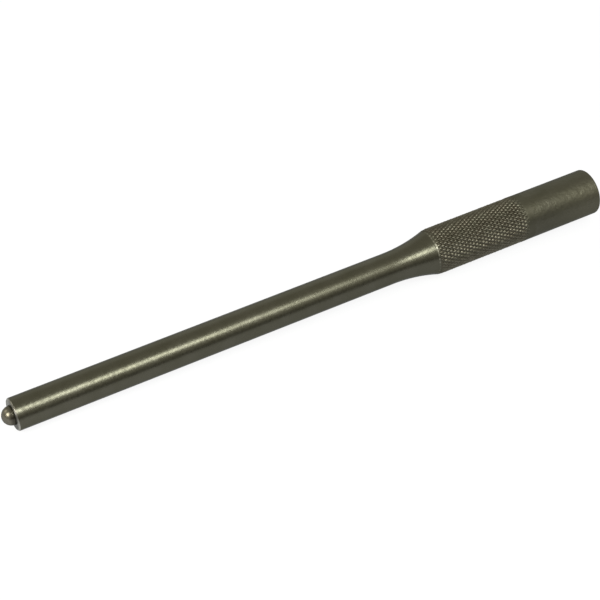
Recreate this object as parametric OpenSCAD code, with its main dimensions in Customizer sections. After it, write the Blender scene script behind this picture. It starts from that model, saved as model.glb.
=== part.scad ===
// Pilot punch for driving roll pins: a turned and knurled steel bar with a
// domed pilot pin pressed into the end of its shank.
// The punch lies along X, with its driving face at X = 0 and its head at +X.

/* [Shank] */
// Diameter of the shank, the size of the roll pin that it drives
shank_d = 6.35; // [5.6:0.05:7.4]
// Straight length of the shank, from the driving face to the cove
shank_len = 78.9; // [50:0.1:110]
// Chamfer round the driving face
tip_chamfer = 0.25; // [0.1:0.05:0.5]

/* [Pilot pin] */
// Diameter of the pilot, which enters the bore of a roll pin
pilot_d = 3.7; // [2.8:0.05:4.4]
// Straight length of the pilot that stands out of the driving face below its dome
pilot_land = 0.15; // [0.05:0.05:1.5]
// Depth of the blind bore that holds the pilot
seat_depth = 6; // [3:0.5:12]
// Chamfer at the mouth of that bore
seat_chamfer = 0.15; // [0.05:0.05:0.3]
// Chamfer on the hidden end of the pilot, which leads it into its bore
lead_chamfer = 0.3; // [0.1:0.05:0.6]

/* [Cove] */
// Radius of the hollow sweep from the shank up to the grip
cove_r = 35; // [20:1:60]
// Diameter of the corner where the cove meets the grip
corner_d = 9.28; // [8.8:0.02:9.6]
// Plain land between that corner and the first row of diamonds
corner_land = 0.2; // [0.1:0.05:0.6]

/* [Knurled grip] */
// Diameter over the crests of the knurl
knurl_d = 9.53; // [9.3:0.01:10.4]
// Depth of the knurl, from its crests to the bottom of its grooves
knurl_depth = 0.28; // [0.16:0.01:0.4]
// Length of the knurled band
knurl_len = 20.38; // [12:0.01:36]
// Number of grooves that wind each way round the bar
knurl_starts = 37; // [24:1:48]
// Angle between a groove and the axis of the bar
knurl_angle = 29; // [25:0.5:35]
// Length over which the first crests rise to the full diameter
knurl_rise = 1.1; // [0.4:0.1:3]

/* [Head] */
// Diameter of the plain head
head_d = 9.44; // [8.9:0.02:10.2]
// Length of the plain head
head_len = 17.5; // [8:0.1:40]
// Radius that breaks the edge of the striking face
head_edge_r = 0.3; // [0.1:0.05:1]

/* [Hidden] */

// Facets of a turned surface
$fn = 96;
// Facets of the whole cove circle, of which the cove is a short arc
cove_facets = 720;
// How far below the plain bar's surface the knurl's end rings lie, and how far along it they reach in
seam_step = 0.03;
seam_lap = 0.1;

shank_r = shank_d / 2;
pilot_r = pilot_d / 2;
corner_r = corner_d / 2;
knurl_r = knurl_d / 2;
root_r = knurl_r - knurl_depth;
head_r = head_d / 2;

// The cove starts along the shank, so its arc reaches the corner after this length
cove_rise = corner_r - shank_r;
cove_len = sqrt(2 * cove_r * cove_rise - cove_rise * cove_rise);
cove_end = shank_len + cove_len;
knurl_start = cove_end + corner_land;
knurl_end = knurl_start + knurl_len;
length = knurl_end + head_len;

// Crests and grooves take turns round the bar and along it, on a grid of this many columns and rows
columns = 2 * knurl_starts;
column_step = PI * knurl_d / columns;
grid_start = knurl_start - seam_lap;
grid_len = knurl_len + 2 * seam_lap;
rows = round(grid_len * tan(knurl_angle) / column_step);
row_step = grid_len / rows;

oxide_steel = [0.28, 0.27, 0.21];
pilot_steel = [0.30, 0.28, 0.22];

// Turns a profile drawn as radius against length about the X axis
module turned() {
    rotate([0, 90, 0]) rotate_extrude() children();
}

// Shank, cove and corner, up to the first row of the knurl, with the pilot's bore
module front_profile() {
    difference() {
        polygon([
            [0, 0],
            [shank_r - tip_chamfer, 0],
            [shank_r, tip_chamfer],
            [shank_r, shank_len],
            [corner_r, shank_len],
            [corner_r, knurl_start],
            [0, knurl_start]
        ]);
        translate([shank_r + cove_r, shank_len]) circle(r = cove_r, $fn = cove_facets);
        seat_profile();
    }
}

// Plain head with a rounded edge at its striking face
module head_profile() {
    inner_r = head_r - head_edge_r;
    inner_end = length - head_edge_r;
    translate([0, knurl_end]) square([inner_r, head_len]);
    translate([0, knurl_end]) square([head_r, head_len - head_edge_r]);
    translate([inner_r, inner_end]) circle(r = head_edge_r);
}

// Blind bore that holds the pilot, with a chamfered mouth
module seat_profile() {
    polygon([
        [0, 0],
        [pilot_r + seat_chamfer, 0],
        [pilot_r, seat_chamfer],
        [pilot_r, seat_depth],
        [0, seat_depth]
    ]);
}

// Radius of a crest at a distance from the knurl's first row
function crest_r(distance) =
    min(knurl_r, corner_r - seam_step + (knurl_r - corner_r + seam_step) * distance / knurl_rise);

// Crests and groove crossings take turns along a row and from row to row
function is_crest(row, column) = (row + column) % 2 == 0;

// Radius of the knurl's grid, where the grooves run out at the head
function knurl_grid_r(row, column) =
    row == rows ? head_r - seam_step :
    is_crest(row, column) ? crest_r(row * row_step) :
    min(root_r, crest_r(row * row_step));

function knurl_point(row, column) =
    let (turn = 360 * column / columns, r = knurl_grid_r(row, column))
    [r * cos(turn), r * sin(turn), grid_start + row * row_step];

function grid_index(row, column) = row * columns + column % columns;

// The four corners of a cell, counted round it as seen from outside
function cell_corners(row, column) = [
    grid_index(row, column),
    grid_index(row, column + 1),
    grid_index(row + 1, column + 1),
    grid_index(row + 1, column)
];

// Each cell is folded along the line between its two groove corners
function cell_faces(row, column) =
    let (c = cell_corners(row, column))
    is_crest(row, column) ?
        [[c[1], c[0], c[3]], [c[3], c[2], c[1]]] :
        [[c[2], c[1], c[0]], [c[0], c[3], c[2]]];

// Diamond knurl of four-sided points, closed by a flat face at either end
module knurl() {
    points = [
        for (row = [0 : rows], column = [0 : columns - 1]) knurl_point(row, column)
    ];
    sides = [
        for (row = [0 : rows - 1], column = [0 : columns - 1])
            each cell_faces(row, column)
    ];
    first_end = [for (column = [0 : columns - 1]) grid_index(0, column)];
    last_end = [for (column = [columns - 1 : -1 : 0]) grid_index(rows, column)];
    rotate([0, 90, 0]) polyhedron(points = points, faces = concat(sides, [first_end, last_end]));
}

// One bar: shank, cove, knurled grip and head
module punch_body() {
    color(oxide_steel) {
        turned() front_profile();
        knurl();
        turned() head_profile();
    }
}

// Domed pin on the punch's axis, seated on the bottom of its bore
module pilot_pin() {
    color(pilot_steel) turned() {
        polygon([
            [0, -pilot_land],
            [pilot_r, -pilot_land],
            [pilot_r, seat_depth - lead_chamfer],
            [pilot_r - lead_chamfer, seat_depth],
            [0, seat_depth]
        ]);
        intersection() {
            translate([0, -pilot_land]) circle(r = pilot_r);
            translate([0, -pilot_land - pilot_r]) square([pilot_r, pilot_r]);
        }
    }
}

punch_body();
pilot_pin();
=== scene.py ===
import math

import bpy
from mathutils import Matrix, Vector, noise


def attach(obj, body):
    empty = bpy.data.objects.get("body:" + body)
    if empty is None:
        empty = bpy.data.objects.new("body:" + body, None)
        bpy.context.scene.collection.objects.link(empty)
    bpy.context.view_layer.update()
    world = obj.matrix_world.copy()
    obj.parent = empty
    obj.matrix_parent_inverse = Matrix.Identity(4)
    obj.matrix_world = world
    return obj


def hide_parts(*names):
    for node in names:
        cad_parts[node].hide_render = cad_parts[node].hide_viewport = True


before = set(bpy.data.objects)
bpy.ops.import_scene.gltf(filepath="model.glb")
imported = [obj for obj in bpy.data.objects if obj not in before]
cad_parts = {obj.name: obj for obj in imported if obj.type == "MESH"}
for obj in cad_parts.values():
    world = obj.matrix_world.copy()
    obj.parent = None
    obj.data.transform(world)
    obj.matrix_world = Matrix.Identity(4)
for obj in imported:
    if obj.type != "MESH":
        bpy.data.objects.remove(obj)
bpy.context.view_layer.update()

# Sizes of the punch in millimetres, the same as in the part's source
MM = 0.001
SHANK_R = 3.175
SHANK_LEN = 78.9
TIP_CHAMFER = 0.25
PILOT_R = 1.85
PILOT_LAND = 0.15
SEAT_DEPTH = 6.0
SEAT_CHAMFER = 0.15
COVE_R = 35.0
CORNER_R = 4.64
CORNER_LAND = 0.2
KNURL_R = 4.765
KNURL_DEPTH = 0.28
KNURL_LEN = 20.38
KNURL_STARTS = 37
KNURL_ANGLE = 29.0
KNURL_LAP = 0.1
KNURL_RISE = 1.1
HEAD_R = 4.72
HEAD_LEN = 17.5
HEAD_EDGE_R = 0.3

COVE_RISE = CORNER_R - SHANK_R
COVE_END = SHANK_LEN + math.sqrt(2 * COVE_R * COVE_RISE - COVE_RISE ** 2)
KNURL_START = COVE_END + CORNER_LAND
KNURL_END = KNURL_START + KNURL_LEN
LENGTH = KNURL_END + HEAD_LEN
ROOT_R = KNURL_R - KNURL_DEPTH

# Half a diamond round the bar and along it, and where the first row lies
COLUMN_STEP = math.pi * KNURL_R / KNURL_STARTS
ROWS_LEN = KNURL_LEN + 2 * KNURL_LAP
KNURL_ROWS = round(ROWS_LEN * math.tan(math.radians(KNURL_ANGLE)) / COLUMN_STEP)
ROW_STEP = ROWS_LEN / KNURL_ROWS
FIRST_ROW = KNURL_START - KNURL_LAP
# Where the crests have risen to the knurl's full radius
CREST_FULL = FIRST_ROW + KNURL_RISE

# Fineness of the turned surfaces, with as many points round a ring as a row of the knurl has
DIAMOND_CUTS = 5
RING = KNURL_STARTS * (DIAMOND_CUTS + 1)
COVE_STEPS = 30
HEAD_STEPS = 6
HEAD_EDGE_STEPS = 8
FILLET_STEPS = 4
# Faces that meet at less than this angle are shaded as one smooth surface
SMOOTH_BELOW = math.radians(38)
# Rings of the flat striking face as shares of its radius, of which the last is drawn into a point
END_RINGS = (0.5, 0.05)
# Small fillets that break the edges of the chamfers, and the plain strip that keeps them crisp
EDGE_BREAK = 0.05
HOLD = 0.12
# Points this close to each other or to a place count as being there
NEAR = 0.002

# Where the rings of a diamond lie, from its crest to its grooves
DIAMOND_RINGS = (0.0, 0.35, 0.85, 1.0)
# A diamond is a pyramid with a rounded crest: its flanks and its grooves take up these shares of the depth
RIDGE_POWER = 3
CREST_ROUND = 0.55
FLANK_FALL = 0.62
GROOVE_FALL = 0.22
GROOVE_POWER = 8
GROOVE_FLOOR = 1 - FLANK_FALL - GROOVE_FALL
# How much lower the most worn crests are, as a share of their height
CREST_WEAR = 0.22
# Steps from crest to crest in the noise that wears them, along either set of grooves, and its slice
WEAR_STEPS = (1.37, 1.71)
WEAR_SLICE = 0.5
# Pairs of rows that the flat knurl has to spare, and the gap that is closed between its diamonds
SPARE_PAIRS = 3
FLAT_GAP = 0.001
# The knurled sheet runs from one row of points to another, on the cove and on the head
SHEET_FRONT = FIRST_ROW - 2 * ROW_STEP
SHEET_BACK = FIRST_ROW + (KNURL_ROWS + 2) * ROW_STEP
# The grooves run out into the head over this stretch
RUN_OUT = 2.7
RUN_OUT_AT = KNURL_END - 1.6
# Low lip of rolled metal at the front edge of the knurl
LIP_AT = COVE_END - 0.58
LIP_HALF = 0.13
LIP_HEIGHT = 0.012
# Gap that is bridged between the knurled sheet and the plain rings next to it
SEAM = 0.1


def leave_edit():
    """Goes back to object mode."""
    bpy.ops.object.mode_set(mode="OBJECT")


def deselect():
    """Leaves edit mode and selects nothing."""
    if bpy.context.object and bpy.context.object.mode != "OBJECT":
        leave_edit()
    bpy.ops.object.select_all(action="DESELECT")


def work_on(obj):
    """Makes one object the selected and active one."""
    deselect()
    obj.select_set(True)
    bpy.context.view_layer.objects.active = obj


def edit_all(obj):
    """Opens an object in edit mode with all of it selected."""
    work_on(obj)
    bpy.ops.object.mode_set(mode="EDIT")
    bpy.ops.mesh.select_all(action="SELECT")


def pick(obj, wanted):
    """Opens an object in edit mode with the vertices selected whose place, in millimetres, is wanted."""
    work_on(obj)
    bpy.ops.object.mode_set(mode="EDIT")
    bpy.ops.mesh.select_mode(type="VERT")
    bpy.ops.mesh.select_all(action="DESELECT")
    leave_edit()
    for vertex in obj.data.vertices:
        vertex.select = wanted(vertex.co / MM)
    bpy.ops.object.mode_set(mode="EDIT")


def turn(name, stations):
    """A turned form: a ring is extruded and resized from station to station, each an (x, radius)."""
    x, r = stations[0]
    deselect()
    bpy.ops.mesh.primitive_circle_add(
        vertices=RING, radius=r * MM, location=(x * MM, 0, 0), rotation=(0, math.pi / 2, 0))
    obj = bpy.context.object
    obj.name = name
    bpy.ops.object.transform_apply(location=True, rotation=True, scale=True)
    edit_all(obj)
    for next_x, next_r in stations[1:]:
        step = ((next_x - x) * MM, 0, 0)
        bpy.ops.mesh.extrude_region_move(TRANSFORM_OT_translate={"value": step})
        bpy.ops.transform.resize(value=(1, next_r / r, next_r / r), center_override=(0, 0, 0))
        x, r = next_x, next_r
    leave_edit()
    return obj


def close_ring(obj, wanted):
    """Draws one ring of a turned form together into a point on its axis."""
    pick(obj, wanted)
    bpy.ops.mesh.merge(type="CENTER")
    leave_edit()


def fill_ring(obj, wanted):
    """Closes one open ring of a turned form with a flat face."""
    pick(obj, wanted)
    bpy.ops.mesh.edge_face_add()
    leave_edit()


def weld(obj):
    """Joins the vertices of a mesh that lie on each other."""
    edit_all(obj)
    bpy.ops.mesh.remove_doubles(threshold=NEAR * MM)
    leave_edit()


def bridge(obj, at):
    """Joins the two open rings on either side of a place along the bar."""
    pick(obj, lambda p: abs(p.x - at) < 0.5 * SEAM + NEAR)
    bpy.ops.mesh.bridge_edge_loops()
    leave_edit()


def fillet(corner, before, after, size):
    """Stations of a small curve in place of a corner between two straight runs."""
    corner, before, after = Vector(corner), Vector(before), Vector(after)
    start = corner + (before - corner).normalized() * size
    end = corner + (after - corner).normalized() * size
    points = []
    for k in range(FILLET_STEPS + 1):
        t = k / FILLET_STEPS
        points.append(tuple((1 - t) ** 2 * start + 2 * t * (1 - t) * corner + t ** 2 * end))
    return points


def cove_radius(x):
    """Radius of the shank and of the hollow sweep behind it."""
    along = max(0.0, x - SHANK_LEN)
    return SHANK_R + COVE_R - math.sqrt(COVE_R ** 2 - along ** 2)


def shank_stations():
    """From the floor of the pilot's bore, out over the driving face and along the shank and cove."""
    face_edge = (0, SHANK_R - TIP_CHAMFER)
    rim = (TIP_CHAMFER, SHANK_R)
    mouth_r = PILOT_R + SEAT_CHAMFER
    stations = [(SEAT_DEPTH, PILOT_R), (SEAT_CHAMFER, PILOT_R), (0, mouth_r)]
    stations += [(0, mouth_r + HOLD), (0, SHANK_R - TIP_CHAMFER - EDGE_BREAK - HOLD)]
    stations += fillet(face_edge, (0, 0), rim, EDGE_BREAK)
    stations += fillet(rim, face_edge, (SHANK_LEN, SHANK_R), EDGE_BREAK)
    stations += [(TIP_CHAMFER + EDGE_BREAK + HOLD, SHANK_R), (SHANK_LEN, SHANK_R)]
    end = SHEET_FRONT - SEAM
    for k in range(1, COVE_STEPS + 1):
        x = SHANK_LEN + (end - SHANK_LEN) * k / COVE_STEPS
        stations.append((x, cove_radius(x)))
    return stations


def head_stations():
    """From the end of the knurl, along the plain head and round its edge to the striking face."""
    start = SHEET_BACK + SEAM
    end = LENGTH - HEAD_EDGE_R - HOLD
    inner = HEAD_R - HEAD_EDGE_R
    stations = [(start + (end - start) * k / HEAD_STEPS, HEAD_R) for k in range(HEAD_STEPS + 1)]
    for k in range(HEAD_EDGE_STEPS + 1):
        a = 0.5 * math.pi * k / HEAD_EDGE_STEPS
        x = LENGTH - HEAD_EDGE_R + HEAD_EDGE_R * math.sin(a)
        stations.append((x, inner + HEAD_EDGE_R * math.cos(a)))
    stations.append((LENGTH, inner - HOLD))
    stations += [(LENGTH, share * inner) for share in END_RINGS]
    return stations


def ring_place(share):
    """Moves the evenly spaced rings of a diamond to where they shape it best."""
    count = len(DIAMOND_RINGS) - 1
    k = min(int(count * share), count - 1)
    inner, outer = DIAMOND_RINGS[k], DIAMOND_RINGS[k + 1]
    return inner + (count * share - k) * (outer - inner)


def diamond_height(u, v):
    """Height of a diamond from its grooves' floor to 1 at its crest; u and v run from groove to groove."""
    down = min(1.0, (abs(u) ** RIDGE_POWER + abs(v) ** RIDGE_POWER) ** (1 / RIDGE_POWER))
    flank = (math.hypot(down, CREST_ROUND) - CREST_ROUND) / (math.hypot(1, CREST_ROUND) - CREST_ROUND)
    return 1 - FLANK_FALL * flank - GROOVE_FALL * down ** GROOVE_POWER


def diamond():
    """One diamond laid flat, one unit from its crest to a corner either way."""
    deselect()
    bpy.ops.mesh.primitive_circle_add(vertices=4, radius=1, fill_type="NGON")
    obj = bpy.context.object
    edit_all(obj)
    bpy.ops.mesh.subdivide(number_cuts=DIAMOND_CUTS)
    leave_edit()
    for vertex in obj.data.vertices:
        u = vertex.co.x + vertex.co.y
        v = vertex.co.x - vertex.co.y
        u = math.copysign(ring_place(abs(u)), u)
        v = math.copysign(ring_place(abs(v)), v)
        vertex.co = (0.5 * (u + v), 0.5 * (u - v), diamond_height(u, v))
    return obj


def repeat(obj, count, offset):
    """Copies a mesh in a straight row, joined where the copies meet."""
    work_on(obj)
    bpy.ops.object.modifier_add(type="ARRAY")
    row = obj.modifiers[-1]
    row.count = count
    row.use_relative_offset = False
    row.use_constant_offset = True
    row.constant_offset_displace = offset
    row.use_merge_vertices = True
    row.merge_threshold = FLAT_GAP
    bpy.ops.object.modifier_apply(modifier=row.name)


def flat_knurl():
    """The knurl laid flat: two diamonds, repeated round the bar and, with some to spare, along it."""
    obj = diamond()
    obj.name = "knurl"
    edit_all(obj)
    bpy.ops.mesh.duplicate_move(TRANSFORM_OT_translate={"value": (1, 1, 0)})
    leave_edit()
    repeat(obj, KNURL_STARTS, (0, 2, 0))
    repeat(obj, KNURL_ROWS // 2 + SPARE_PAIRS, (2, 0, 0))
    return obj


def cut(obj, at, side=1, clear=False):
    """Cuts the flat knurl across at a place along the bar; what lies behind the cut may be cleared."""
    edit_all(obj)
    place = ((at - SHEET_FRONT) / ROW_STEP, 0, 0)
    bpy.ops.mesh.bisect(plane_co=place, plane_no=(side, 0, 0), clear_inner=clear)
    leave_edit()


def crest_wear(x, y):
    """How far the crest of the diamond round a point of the flat sheet is worn down, from 0 to 1."""
    one_way = WEAR_STEPS[0] * round(0.5 * (x + y))
    other_way = WEAR_STEPS[1] * round(0.5 * (x - y))
    return 0.5 + 0.5 * noise.noise(Vector((one_way, other_way, WEAR_SLICE)))


def ramp(x, start, length):
    """Rises from 0 to 1 over a length of the bar."""
    return max(0.0, min(1.0, (x - start) / length))


def grip_radius(x):
    """Radius of the bar that the knurl is rolled into: cove, corner, bevelled start and head."""
    if x < COVE_END:
        return cove_radius(x) + LIP_HEIGHT * max(0.0, 1 - abs(x - LIP_AT) / LIP_HALF)
    r = CORNER_R + (KNURL_R - CORNER_R) * ramp(x, KNURL_START, CREST_FULL - KNURL_START)
    return r + (HEAD_R - r) * ramp(x, RUN_OUT_AT, RUN_OUT)


def knurl_radius(x, height):
    """Radius of the knurled sheet, with grooves cut through the front corner and run out at the head."""
    out = ramp(x, RUN_OUT_AT, RUN_OUT)
    floor_rise = out ** 2 * (3 - 2 * out)
    return min(grip_radius(x), ROOT_R + KNURL_DEPTH * (height + floor_rise))


def wrap(obj):
    """Rolls the flat knurl round the bar, each point at the radius that its height and wear give it."""
    for vertex in obj.data.vertices:
        flat = vertex.co.copy()
        x = SHEET_FRONT + ROW_STEP * flat.x
        above = (flat.z - GROOVE_FLOOR) * (1 - CREST_WEAR * crest_wear(flat.x, flat.y))
        r = knurl_radius(x, GROOVE_FLOOR + above)
        t = math.pi * flat.y / KNURL_STARTS
        vertex.co = Vector((x, r * math.sin(t), -r * math.cos(t))) * MM
    weld(obj)


def knurl():
    """The knurled sheet: cut while flat, to its length and along the lip, and wrapped round the bar."""
    obj = flat_knurl()
    cut(obj, SHEET_FRONT, clear=True)
    cut(obj, SHEET_BACK, side=-1, clear=True)
    for side in (-1, 0, 1):
        cut(obj, LIP_AT + side * LIP_HALF)
    wrap(obj)
    return obj


def punch_bar():
    """Shank, cove, knurled grip and head as one bar."""
    shank = turn("shank", shank_stations())
    fill_ring(shank, lambda p: abs(p.x - SEAT_DEPTH) < NEAR)
    head = turn("head", head_stations())
    middle_r = 2 * END_RINGS[-1] * HEAD_R
    close_ring(head, lambda p: p.x > LENGTH - NEAR and math.hypot(p.y, p.z) < middle_r)
    grip = knurl()
    deselect()
    for obj in (shank, head, grip):
        obj.select_set(True)
    bpy.context.view_layer.objects.active = grip
    bpy.ops.object.join()
    bridge(grip, SHEET_FRONT - 0.5 * SEAM)
    bridge(grip, SHEET_BACK + 0.5 * SEAM)
    edit_all(grip)
    bpy.ops.mesh.normals_make_consistent(inside=False)
    leave_edit()
    bpy.ops.object.shade_smooth_by_angle(angle=SMOOTH_BELOW)
    grip.name = "punch_bar"
    return grip


# Ranges of a noise that a change is spread over: a wide one for soft changes, a narrow one for sharp ones
SOFT = (0.3, 0.7)
SHARP = (0.35, 0.65)


class NodeWork:
    """Adds nodes to one tree and links them."""

    def __init__(self, tree):
        self.tree = tree

    def node(self, kind, **settings):
        """A new node with these settings."""
        made = self.tree.nodes.new(kind)
        for name, value in settings.items():
            setattr(made, name, value)
        return made

    def feed(self, socket, value):
        """Links an output to a socket, or sets a number or colour on it."""
        if isinstance(value, bpy.types.NodeSocket):
            self.tree.links.new(value, socket)
        else:
            socket.default_value = value

    def math(self, operation, first, second=0.0):
        """One step of arithmetic."""
        made = self.node("ShaderNodeMath", operation=operation)
        self.feed(made.inputs[0], first)
        self.feed(made.inputs[1], second)
        return made.outputs[0]

    def both(self, first, second):
        """The share of a place where two shares hold at once."""
        return self.math("MULTIPLY", first, second)

    def axis(self, place, name):
        """One coordinate of a place."""
        parts = self.node("ShaderNodeSeparateXYZ")
        self.feed(parts.inputs[0], place)
        return parts.outputs[name]

    def span(self, source, low, high, to_low=0.0, to_high=1.0, smooth=False):
        """Carries a range of values over to another range."""
        made = self.node("ShaderNodeMapRange")
        if smooth:
            made.interpolation_type = "SMOOTHSTEP"
        self.feed(made.inputs["Value"], source)
        made.inputs["From Min"].default_value = low
        made.inputs["From Max"].default_value = high
        made.inputs["To Min"].default_value = to_low
        made.inputs["To Max"].default_value = to_high
        return made.outputs["Result"]

    def fall(self, source, low, high, smooth=False):
        """1 up to the low value, falling to 0 at the high one."""
        return self.span(source, low, high, 1.0, 0.0, smooth)

    def tint(self, share, first, second):
        """A colour between two others."""
        made = self.node("ShaderNodeMix", data_type="RGBA")
        self.feed(made.inputs["Factor"], share)
        for socket, value in ((made.inputs["A"], first), (made.inputs["B"], second)):
            self.feed(socket, value if isinstance(value, bpy.types.NodeSocket) else (*value, 1))
        return made.outputs["Result"]


class Finish(NodeWork):
    """A metal finish, built from nodes on the piece's own coordinates."""

    def __init__(self, name, edge_tint):
        self.material = bpy.data.materials.new(name)
        self.material.use_nodes = True
        super().__init__(self.material.node_tree)
        self.shader = self.tree.nodes["Principled BSDF"]
        self.shader.inputs["Metallic"].default_value = 1.0
        self.shader.inputs["Specular Tint"].default_value = (*edge_tint, 1)
        self.place = self.tree.nodes.new("ShaderNodeTexCoord").outputs["Object"]

    def grain(self, size_mm, detail=2.0, stretch=(1, 1, 1)):
        """Noise with grains of this size, drawn out or squeezed along the axes."""
        spread = self.node("ShaderNodeMapping")
        self.feed(spread.inputs["Vector"], self.place)
        spread.inputs["Scale"].default_value = stretch
        made = self.node("ShaderNodeTexNoise")
        self.feed(made.inputs["Vector"], spread.outputs[0])
        made.inputs["Scale"].default_value = 1 / (size_mm * MM)
        made.inputs["Detail"].default_value = detail
        return made.outputs["Fac"]

    def wander(self, grain, low, high):
        """A number that wanders between two others with a grain."""
        return self.span(grain, *SOFT, low, high)

    def mottle(self, grain, first, second, spread=SOFT):
        """A colour that wanders between two others with a grain."""
        return self.tint(self.span(grain, *spread), first, second)

    def layers(self, fine, coarse, share):
        """A fine relief with a share of a coarser one."""
        return self.math("ADD", fine, self.math("MULTIPLY", coarse, share))

    def bump(self, height, strength, depth_mm):
        """Gives the surface a relief."""
        made = self.node("ShaderNodeBump")
        made.inputs["Strength"].default_value = strength
        made.inputs["Distance"].default_value = depth_mm * MM
        self.feed(made.inputs["Height"], height)
        self.feed(self.shader.inputs["Normal"], made.outputs["Normal"])

    def along_mm(self, axis="X"):
        """Distance of the shaded point along one axis."""
        return self.math("MULTIPLY", self.axis(self.place, axis), 1 / MM)

    def radius_mm(self, y=0.0, z=0.0):
        """Distance of the shaded point from the punch's axis, or from another line along the punch."""
        across = self.math("SUBTRACT", self.along_mm("Y"), y)
        up = self.math("SUBTRACT", self.along_mm("Z"), z)
        square = self.math("ADD", self.math("MULTIPLY", across, across), self.math("MULTIPLY", up, up))
        return self.math("SQRT", square)

    def spot(self, at, inner, outer, near=1.0, away=0.0):
        """A number that changes with the distance from a line along the punch, given by its y and z."""
        return self.span(self.radius_mm(*at), inner, outer, near, away)

    def line(self, at, half):
        """1 along a ring of the bar, falling to 0 on either side of it."""
        away = self.math("ABSOLUTE", self.math("SUBTRACT", self.along_mm(), at))
        return self.fall(away, 0.5 * half, half, smooth=True)

    def lip_crests(self):
        """1 at the crests of the row of diamonds that lies at the lip, 0 halfway between them."""
        down = self.math("MULTIPLY", self.along_mm("Z"), -1.0)
        angle = self.math("ARCTAN2", self.along_mm("Y"), down)
        wave = self.math("COSINE", self.math("MULTIPLY", angle, KNURL_STARTS))
        return self.fall(wave, low=-1.0, high=1.0)

    def color(self, value):
        """Sets the colour of the metal."""
        self.feed(self.shader.inputs["Base Color"], value)

    def roughness(self, value):
        """Sets how dull the metal is."""
        self.feed(self.shader.inputs["Roughness"], value)


# Tints of the metals at a glancing angle
EDGE_TINT = (0.56, 0.56, 0.54)
KNURL_TINT = (0.48, 0.48, 0.46)
FACE_TINT = (0.55, 0.55, 0.52)
# Colours of the metals, in pairs where a grain mottles them
OXIDE = ((0.080, 0.076, 0.0515), (0.093, 0.088, 0.0625))
# Paler oxide at the tip's edge: part wear, part painted highlight
THIN_OXIDE_AND_HIGHLIGHT = (0.116, 0.111, 0.08)
# Painted sheen on the front side of the head's end
HEAD_END_SHEEN = (0.107, 0.101, 0.069)
GROOVE = ((0.077, 0.066, 0.0455), (0.082, 0.077, 0.053))
CREST = ((0.1, 0.092, 0.0645), (0.153, 0.141, 0.102))
LIP_STEEL = (0.28, 0.265, 0.2)
END_STEEL = (0.15, 0.142, 0.108)
# Painted shade on the driving face, low down and beside the pilot
FACE_SHADE = (0.13, 0.122, 0.1)
FACE_STEEL = ((0.27, 0.267, 0.226), (0.335, 0.331, 0.285))
# Painted shade on a band of the rim
RIM_SHADE = (0.11, 0.104, 0.08)
RIM_STEEL = ((0.3, 0.286, 0.237), (0.4, 0.385, 0.325))
# Painted highlight at one spot of the rim
RIM_HIGHLIGHT = (0.6, 0.575, 0.5)
# Painted shade at one side of the pilot's base
PILOT_SHADE = (0.062, 0.056, 0.04)
PILOT_BASE = (0.085, 0.079, 0.056)
PILOT_CROWN = ((0.13, 0.118, 0.086), (0.16, 0.147, 0.11))
# Where a finish changes, in millimetres along the punch (X), across (Y), up (Z) and out from its axis (R)
TIP_WEAR_AND_HIGHLIGHT_X = (TIP_CHAMFER, 1.2)
HEAD_SHEEN_X = (LENGTH - 12.0, LENGTH - 4.0)
HEAD_SHEEN_Y = (-3.6, -1.0)
LIP_WANDER_X = (LIP_AT - 0.04, LIP_AT + 0.12)
LIP_FRONT_Y = (0.0, 2.0)
LIP_UPPER_Z = (0.0, 2.6)
LIP_RUBBED_HALF = 1.3 * LIP_HALF
KNURL_FRONT_X = (LIP_AT, COVE_END)
KNURL_BACK_X = (RUN_OUT_AT, RUN_OUT_AT + 0.6 * RUN_OUT)
CREST_R = (ROOT_R + 0.1 * KNURL_DEPTH, ROOT_R + 0.8 * KNURL_DEPTH)
END_X = LENGTH - 0.5 * HEAD_EDGE_R
END_EDGE_R = (HEAD_R - 1.6 * HEAD_EDGE_R, HEAD_R - 0.7 * HEAD_EDGE_R)
FACE_UNSHADED_Z = (-1.0, 1.0)
RIM_R = SHANK_R - TIP_CHAMFER - EDGE_BREAK
RIM_ABOVE_Z = (1.75, 2.3)
RIM_TOP_Z = (2.5, 2.85)
RIM_BELOW_Z = (-0.4, 1.55)
PILOT_CROWN_X = (-PILOT_LAND, -PILOT_LAND - 0.45 * PILOT_R)
PILOT_SHADE_X = (-1.1, -0.4)
PILOT_SHADE_Y = (-1.3, -0.95)
# Spots round a line along the punch at a place (y, z): wear with a painted highlight at the tip, painted
# shade on the knurl's upper crests, a paler spot on the lip, painted shade beside the pilot and a painted
# highlight on the rim
TIP_WEAR_AND_HIGHLIGHT_SPOT = {"at": (-1.9, 2.5), "inner": 0.4, "outer": 1.0}
CREST_SHADE_SPOT = {"at": (-1.2, 4.6), "inner": 0.8, "outer": 1.9, "near": 0.5, "away": 1.0}
LIP_PALE_SPOT = {"at": (-3.5, 2.8), "inner": 0.3, "outer": 0.8, "near": 0.3}
FACE_SHADE_SPOT = {"at": (-0.4, 2.8), "inner": 0.7, "outer": 1.9, "near": 0.0, "away": 1.0}
RIM_HIGHLIGHT_SPOT = {"at": (-1.87, 2.4), "inner": 0.08, "outer": 0.5}
# Turning marks of the striking face, per millimetre
END_MARKS = 5.0


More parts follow.
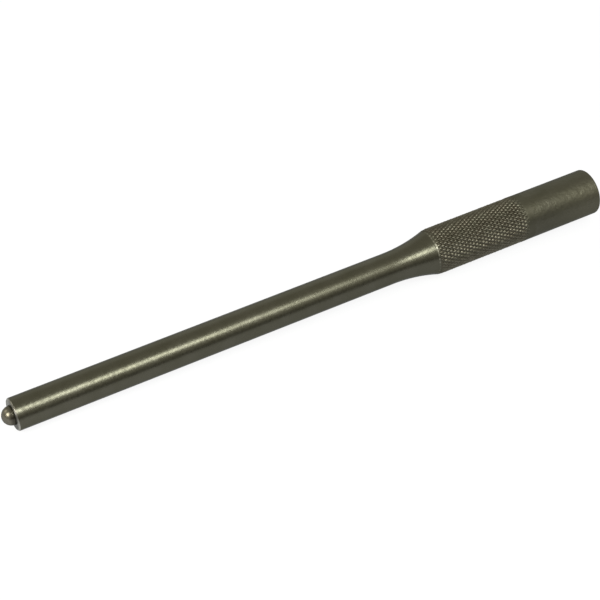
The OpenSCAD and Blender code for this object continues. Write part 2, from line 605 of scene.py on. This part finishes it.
def shank_finish():
    """Satin black oxide with an olive cast over a ground bar, worn thin and painted paler at one spot of
    the tip's edge, a painted highlight where the lamp's highlight meets it.
    """
    f = Finish("satin_oxide", EDGE_TINT)
    blotch = f.grain(size_mm=4.0, detail=3.0)
    fine = f.grain(size_mm=0.55)
    rings = f.grain(size_mm=0.3, stretch=(1, 0.06, 0.06))
    # Worn thin and painted paler where the lamp's highlight meets the tip's edge: part wear, part painted
    # highlight
    wear_and_highlight = f.both(f.fall(f.along_mm(), *TIP_WEAR_AND_HIGHLIGHT_X), f.spot(**TIP_WEAR_AND_HIGHLIGHT_SPOT))
    f.color(f.tint(wear_and_highlight, f.mottle(blotch, *OXIDE), THIN_OXIDE_AND_HIGHLIGHT))
    f.roughness(f.wander(fine, low=0.25, high=0.35))
    f.bump(f.layers(fine, rings, share=0.5), strength=0.25, depth_mm=0.04)
    return f.material


def head_finish():
    """The same oxide over a rougher turned head, painted a little paler towards the front side of its end
    as a painted sheen.
    """
    f = Finish("turned_oxide", EDGE_TINT)
    blotch = f.grain(size_mm=3.0, detail=3.0)
    fine = f.grain(size_mm=0.35, stretch=(1, 0.3, 0.3))
    ripple = f.grain(size_mm=0.9)
    # Painted sheen: paler towards the front side of the head's end, where the lamp's highlight spreads
    painted_sheen = f.both(f.span(f.along_mm(), *HEAD_SHEEN_X), f.fall(f.along_mm("Y"), *HEAD_SHEEN_Y))
    f.color(f.tint(painted_sheen, f.mottle(blotch, *OXIDE), HEAD_END_SHEEN))
    f.roughness(f.wander(fine, low=0.40, high=0.50))
    f.bump(f.layers(fine, ripple, share=3.0), strength=0.45, depth_mm=0.07)
    return f.material


def rubbed_lip(f, blotch, uneven):
    """Where the lip before the knurl is rubbed bare: at crests, less behind and low down; it is also paler
    at one spot just below where the lamp's highlight crosses the lip.
    """
    rubbed = f.span(f.lip_crests(), low=0.2, high=0.9, to_low=0.15)
    patchy = f.span(blotch, low=0.4, high=0.6, to_low=0.4)
    in_front = f.span(f.along_mm("Y"), *LIP_FRONT_Y, to_low=1.0, to_high=0.1)
    higher_up = f.span(f.along_mm("Z"), *LIP_UPPER_Z, to_low=0.45)
    for share in (patchy, in_front, higher_up):
        rubbed = f.both(rubbed, share)
    # A paler spot on the lip just below where the lamp's highlight crosses it
    rubbed = f.math("ADD", rubbed, f.spot(**LIP_PALE_SPOT))
    ragged = f.wander(uneven, *LIP_WANDER_X)
    return f.both(f.line(ragged, LIP_RUBBED_HALF), rubbed)


def knurl_finish():
    """Oxide that is dark in the grooves, paler on the crests and rubbed bare along the front lip, with the
    crests painted darker round the top as shade.
    """
    f = Finish("knurled_oxide", KNURL_TINT)
    blotch = f.grain(size_mm=2.0)
    fine = f.grain(size_mm=0.35)
    uneven = f.grain(size_mm=0.8, detail=1.0)
    height = f.span(f.radius_mm(), *CREST_R, smooth=True)
    front = f.span(f.along_mm(), *KNURL_FRONT_X, smooth=True)
    back = f.fall(f.along_mm(), *KNURL_BACK_X, smooth=True)
    groove = f.mottle(blotch, *GROOVE, spread=SHARP)
    crest = f.mottle(uneven, *CREST, spread=SHARP)
    # Crests painted darker round the top of the knurl, a painted shade that dims their glints there
    raised = f.both(height, f.spot(**CREST_SHADE_SPOT))
    rolled = f.tint(f.both(front, back), f.mottle(blotch, *OXIDE), f.tint(raised, groove, crest))
    f.color(f.tint(rubbed_lip(f, blotch, uneven), rolled, LIP_STEEL))
    duller_head = f.span(back, low=0.0, high=1.0, to_low=0.09, to_high=0.0)
    f.roughness(f.math("ADD", f.wander(fine, low=0.3, high=0.42), duller_head))
    f.bump(f.both(f.math("SUBTRACT", uneven, 0.5), back), strength=0.45, depth_mm=0.14)
    return f.material


def end_finish():
    """Oxide over the faced striking end, with fine turning marks round its middle and a rubbed edge."""
    f = Finish("faced_oxide", EDGE_TINT)
    out = f.radius_mm()
    blotch = f.grain(size_mm=2.5, detail=3.0)
    fine = f.grain(size_mm=0.35)
    marks = f.node("ShaderNodeTexNoise", noise_dimensions="1D")
    f.feed(marks.inputs["W"], out)
    marks.inputs["Scale"].default_value = END_MARKS
    near_edge = f.span(out, *END_EDGE_R, smooth=True)
    rubbed = f.both(near_edge, f.span(blotch, low=0.35, high=0.6, to_low=0.25))
    f.color(f.tint(rubbed, f.mottle(blotch, *OXIDE), END_STEEL))
    f.roughness(f.wander(fine, low=0.34, high=0.44))
    f.bump(f.layers(fine, marks.outputs["Fac"], share=2.0), strength=0.4, depth_mm=0.05)
    return f.material


def face_finish():
    """Ground steel of the driving face, with painted shade low down, where it mirrors the shadowed floor,
    and at one spot of its upper edge beside the pilot.
    """
    f = Finish("ground_face", FACE_TINT)
    fine = f.grain(size_mm=0.3, detail=3.0)
    # Painted shade: darker low down, where the face mirrors the shadowed floor, and at one spot beside the
    # pilot
    clear = f.both(f.span(f.along_mm("Z"), *FACE_UNSHADED_Z), f.spot(**FACE_SHADE_SPOT))
    f.color(f.tint(clear, FACE_SHADE, f.mottle(fine, *FACE_STEEL)))
    f.roughness(f.wander(fine, low=0.3, high=0.4))
    return f.material


def rim_finish():
    """Steel along the chamfer of the driving face, rubbed bare above and below, with painted shade in the
    band between and a painted highlight at one spot.
    """
    f = Finish("rim_painted_light", EDGE_TINT)
    fine = f.grain(size_mm=0.25)
    up = f.along_mm("Z")
    above = f.both(f.span(up, *RIM_ABOVE_Z), f.span(up, *RIM_TOP_Z, to_low=1.0, to_high=0.5))
    below = f.fall(up, *RIM_BELOW_Z)
    # Painted shade in a band between the bare parts, where the rim mirrors the dark front of the room
    rubbed = f.tint(f.math("ADD", above, below), RIM_SHADE, f.mottle(fine, *RIM_STEEL))
    # Painted highlight at one spot, where the shank's highlight turns over the edge
    f.color(f.tint(f.spot(**RIM_HIGHLIGHT_SPOT), rubbed, RIM_HIGHLIGHT))
    f.roughness(f.wander(fine, low=0.17, high=0.25))
    return f.material


def pilot_finish():
    """Smooth oxide of the pilot, rubbed paler towards its crown, with painted shade at one side of its
    base.
    """
    f = Finish("pilot_oxide", EDGE_TINT)
    fine = f.grain(size_mm=0.4, detail=3.0)
    crown = f.span(f.along_mm(), *PILOT_CROWN_X, smooth=True)
    domed = f.tint(crown, PILOT_BASE, f.mottle(fine, *PILOT_CROWN))
    # Painted shade at one side of the pilot's base, where it meets the driving face
    base_shade = f.both(f.span(f.along_mm(), *PILOT_SHADE_X), f.fall(f.along_mm("Y"), *PILOT_SHADE_Y))
    f.color(f.tint(base_shade, domed, PILOT_SHADE))
    f.roughness(f.wander(fine, low=0.26, high=0.36))
    return f.material


def stretch_name(x, r):
    """Name of the stretch of the bar that a face belongs to, by its place along the bar and its radius."""
    if x > END_X:
        return "end"
    if x > SHEET_BACK:
        return "head"
    if x > LIP_AT - LIP_HALF:
        return "knurl"
    if x < TIP_CHAMFER and r > RIM_R:
        return "rim"
    if x < SEAT_CHAMFER and r > PILOT_R:
        return "face"
    return "shank"


def dress_bar(obj):
    """Gives each stretch of the bar its finish."""
    finishes = {
        "shank": shank_finish(),
        "knurl": knurl_finish(),
        "head": head_finish(),
        "face": face_finish(),
        "rim": rim_finish(),
        "end": end_finish(),
    }
    obj.data.materials.clear()
    for finish in finishes.values():
        obj.data.materials.append(finish)
    names = list(finishes)
    for face in obj.data.polygons:
        center = face.center / MM
        face.material_index = names.index(stretch_name(center.x, math.hypot(center.y, center.z)))


bar = punch_bar()
dress_bar(bar)
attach(bar, "root")
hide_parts("punch_body")

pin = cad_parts["pilot_pin"]
pin.data.materials.clear()
pin.data.materials.append(pilot_finish())

# Camera at the photograph's angle, with its distances in millimetres
IMAGE = 600
FOCAL_PX = 1703.74
SENSOR = 36.0
AZIMUTH = math.radians(-29.4316)
ELEVATION = math.radians(43.6331)
DISTANCE = 326.597
AIM_X = 59.2633
FRAME_DROP_PX = 2.95
CLIP_START = 10.0


def photo_camera():
    """Camera that frames the punch as the photograph does."""
    level = math.cos(ELEVATION)
    back = Vector((math.sin(AZIMUTH) * level, -math.cos(AZIMUTH) * level, math.sin(ELEVATION)))
    data = bpy.data.cameras.new("photo_camera")
    data.sensor_width = SENSOR
    data.lens = FOCAL_PX / IMAGE * SENSOR
    data.shift_y = FRAME_DROP_PX / IMAGE
    data.clip_start = CLIP_START * MM
    camera = bpy.data.objects.new("photo_camera", data)
    camera.location = (Vector((AIM_X, 0, 0)) + back * DISTANCE) * MM
    camera.rotation_euler = back.to_track_quat("Z", "Y").to_euler()
    bpy.context.collection.objects.link(camera)
    bpy.context.scene.camera = camera


# Large softbox above the front of the punch, and a small one and a faint fill by its tip, in millimetres
MAIN_LAMP = {"over": 138.0, "out": (0, -0.5255, 0.8508), "reach": 550.0, "size": (200.0, 172.0),
             "radiance": 13.1, "color": (0.95, 1.0, 1.04)}
TIP_LAMP = {"over": 0.0, "out": (-0.695, -0.159, 0.701), "reach": 260.0, "size": (95.0, 95.0),
            "radiance": 19.0, "color": (1.0, 0.98, 0.93)}
TIP_FILL = {"over": 0.0, "out": (-0.57, 0.62, 0.54), "reach": 70.0, "size": (28.0, 28.0),
            "radiance": 2.0, "color": (1.0, 1.0, 0.92)}
# The pale room, how bright it still is low at the front, and over which directions it dims to that
ROOM = 0.71
ROOM_COLOR = (1.0, 0.99, 0.92)
ROOM_FRONT = 0.25
FRONT_Y = (-0.9, -0.3)
LOW_Z = (0.15, 0.6)
# Soft patches of brighter room: the main lamp's bounce beyond the head, and a cooler wall low at the back
BOUNCE = {"out": (0.55, -0.43, 0.716), "reach": 33, "strength": 0.43}
BACK_WALL = {"out": (0.51, 0.838, 0.194), "reach": 36, "strength": 0.46}
BACK_COLOR = (0.99, 1.02, 1.07)
# Width of the floor in metres
FLOOR_SIZE = 6
# What the floor shows of its own, so that it is white, and what it shows of the light and of shadows
FLOOR_GLOW = 0.9
FLOOR_MATTE = 0.1
# How much of that is left under the head, a painted shadow seen only as mirrored in the punch, and what
# colour the floor has as mirrored in the punch
FLOOR_SHADE_UNDER_HEAD = 0.8
FLOOR_COLOR = (0.98, 1.01, 1.12)
# How far the floor drops per length of the punch, which rests on its tip and its knurl
REST_TIP = TIP_CHAMFER
REST_KNURL = CREST_FULL
FLOOR_DROP = (KNURL_R - SHANK_R) / (REST_KNURL - REST_TIP)


def softbox(name, over, out, reach, size, radiance, color):
    """One soft lamp, turned to a point of the punch's axis."""
    data = bpy.data.lights.new(name, "AREA")
    data.shape = "RECTANGLE"
    data.size = size[0] * MM
    data.size_y = size[1] * MM
    data.color = color
    data.energy = math.pi * data.size * data.size_y * radiance
    lamp = bpy.data.objects.new(name, data)
    out = Vector(out).normalized()
    lamp.location = (Vector((over, 0, 0)) + out * reach) * MM
    lamp.rotation_euler = out.to_track_quat("Z", "Y").to_euler()
    lamp.visible_camera = False
    bpy.context.collection.objects.link(lamp)


def patch(work, towards, out, reach, strength):
    """A soft round patch of brighter room, of this reach in degrees."""
    near = work.node("ShaderNodeVectorMath", operation="DOT_PRODUCT")
    work.feed(near.inputs[0], towards)
    work.feed(near.inputs[1], out)
    edge = math.cos(math.radians(reach))
    return work.span(near.outputs["Value"], low=edge, high=1.0, to_high=strength, smooth=True)


def room():
    """Pale light from all round, dimmer low at the front, and a white backdrop behind it all."""
    world = bpy.data.worlds.new("room")
    bpy.context.scene.world = world
    world.use_nodes = True
    work = NodeWork(world.node_tree)
    light = work.tree.nodes["Background"]
    out = work.node("ShaderNodeTexCoord").outputs["Generated"]
    front = work.fall(work.axis(out, "Y"), *FRONT_Y, smooth=True)
    low = work.fall(work.axis(out, "Z"), *LOW_Z, smooth=True)
    dimmed = work.math("MULTIPLY", work.both(front, low), ROOM_FRONT - ROOM)
    wall = patch(work, out, **BACK_WALL)
    patches = work.math("ADD", wall, patch(work, out, **BOUNCE))
    level = work.math("ADD", work.math("ADD", dimmed, ROOM), patches)
    wall_share = work.span(wall, 0.0, BACK_WALL["strength"])
    work.feed(light.inputs["Strength"], level)
    work.feed(light.inputs["Color"], work.tint(wall_share, ROOM_COLOR, BACK_COLOR))
    backdrop = work.node("ShaderNodeBackground")
    backdrop.inputs["Color"].default_value = (1, 1, 1, 1)
    seen = work.node("ShaderNodeMixShader")
    work.feed(seen.inputs[0], work.node("ShaderNodeLightPath").outputs["Is Camera Ray"])
    work.feed(seen.inputs[1], light.outputs[0])
    work.feed(seen.inputs[2], backdrop.outputs[0])
    work.feed(work.tree.nodes["World Output"].inputs["Surface"], seen.outputs[0])


def white_floor():
    """Pale floor under the tip and the knurl, which stays white in the picture and keeps a soft shadow."""
    deselect()
    under_tip = (REST_TIP * MM, 0, -SHANK_R * MM)
    tilt = (0, math.atan(FLOOR_DROP), 0)
    bpy.ops.mesh.primitive_plane_add(size=FLOOR_SIZE, location=under_tip, rotation=tilt)
    floor = bpy.context.object
    floor.name = "floor"
    white = bpy.data.materials.new("floor_white")
    white.use_nodes = True
    work = NodeWork(white.node_tree)
    work.tree.nodes.clear()
    ray = work.node("ShaderNodeLightPath").outputs
    along = work.axis(work.node("ShaderNodeTexCoord").outputs["Object"], "X")
    # The floor is mirrored a little darker towards the head: a painted shadow seen only in reflections
    floor_shade = work.span(along, 0.0, LENGTH * MM, to_low=1.0, to_high=FLOOR_SHADE_UNDER_HEAD)
    mirrored = work.math("MULTIPLY", ray["Is Glossy Ray"], floor_shade)
    seen = work.math("MAXIMUM", ray["Is Camera Ray"], mirrored)
    seen = work.math("MAXIMUM", seen, ray["Is Transmission Ray"])
    glow = work.node("ShaderNodeEmission")
    work.feed(glow.inputs["Strength"], work.math("MULTIPLY", seen, FLOOR_GLOW))
    work.feed(glow.inputs["Color"], work.tint(ray["Is Glossy Ray"], (1, 1, 1), FLOOR_COLOR))
    matte = work.node("ShaderNodeBsdfDiffuse")
    matte.inputs["Color"].default_value = (FLOOR_MATTE, FLOOR_MATTE, FLOOR_MATTE, 1)
    shown = work.node("ShaderNodeAddShader")
    work.feed(shown.inputs[0], matte.outputs[0])
    work.feed(shown.inputs[1], glow.outputs[0])
    surface = work.node("ShaderNodeOutputMaterial").inputs["Surface"]
    work.feed(surface, shown.outputs[0])
    floor.data.materials.append(white)


photo_camera()
softbox("main_lamp", **MAIN_LAMP)
softbox("tip_lamp", **TIP_LAMP)
softbox("tip_fill", **TIP_FILL)
room()
white_floor()
bpy.context.scene.view_settings.view_transform = "Standard"
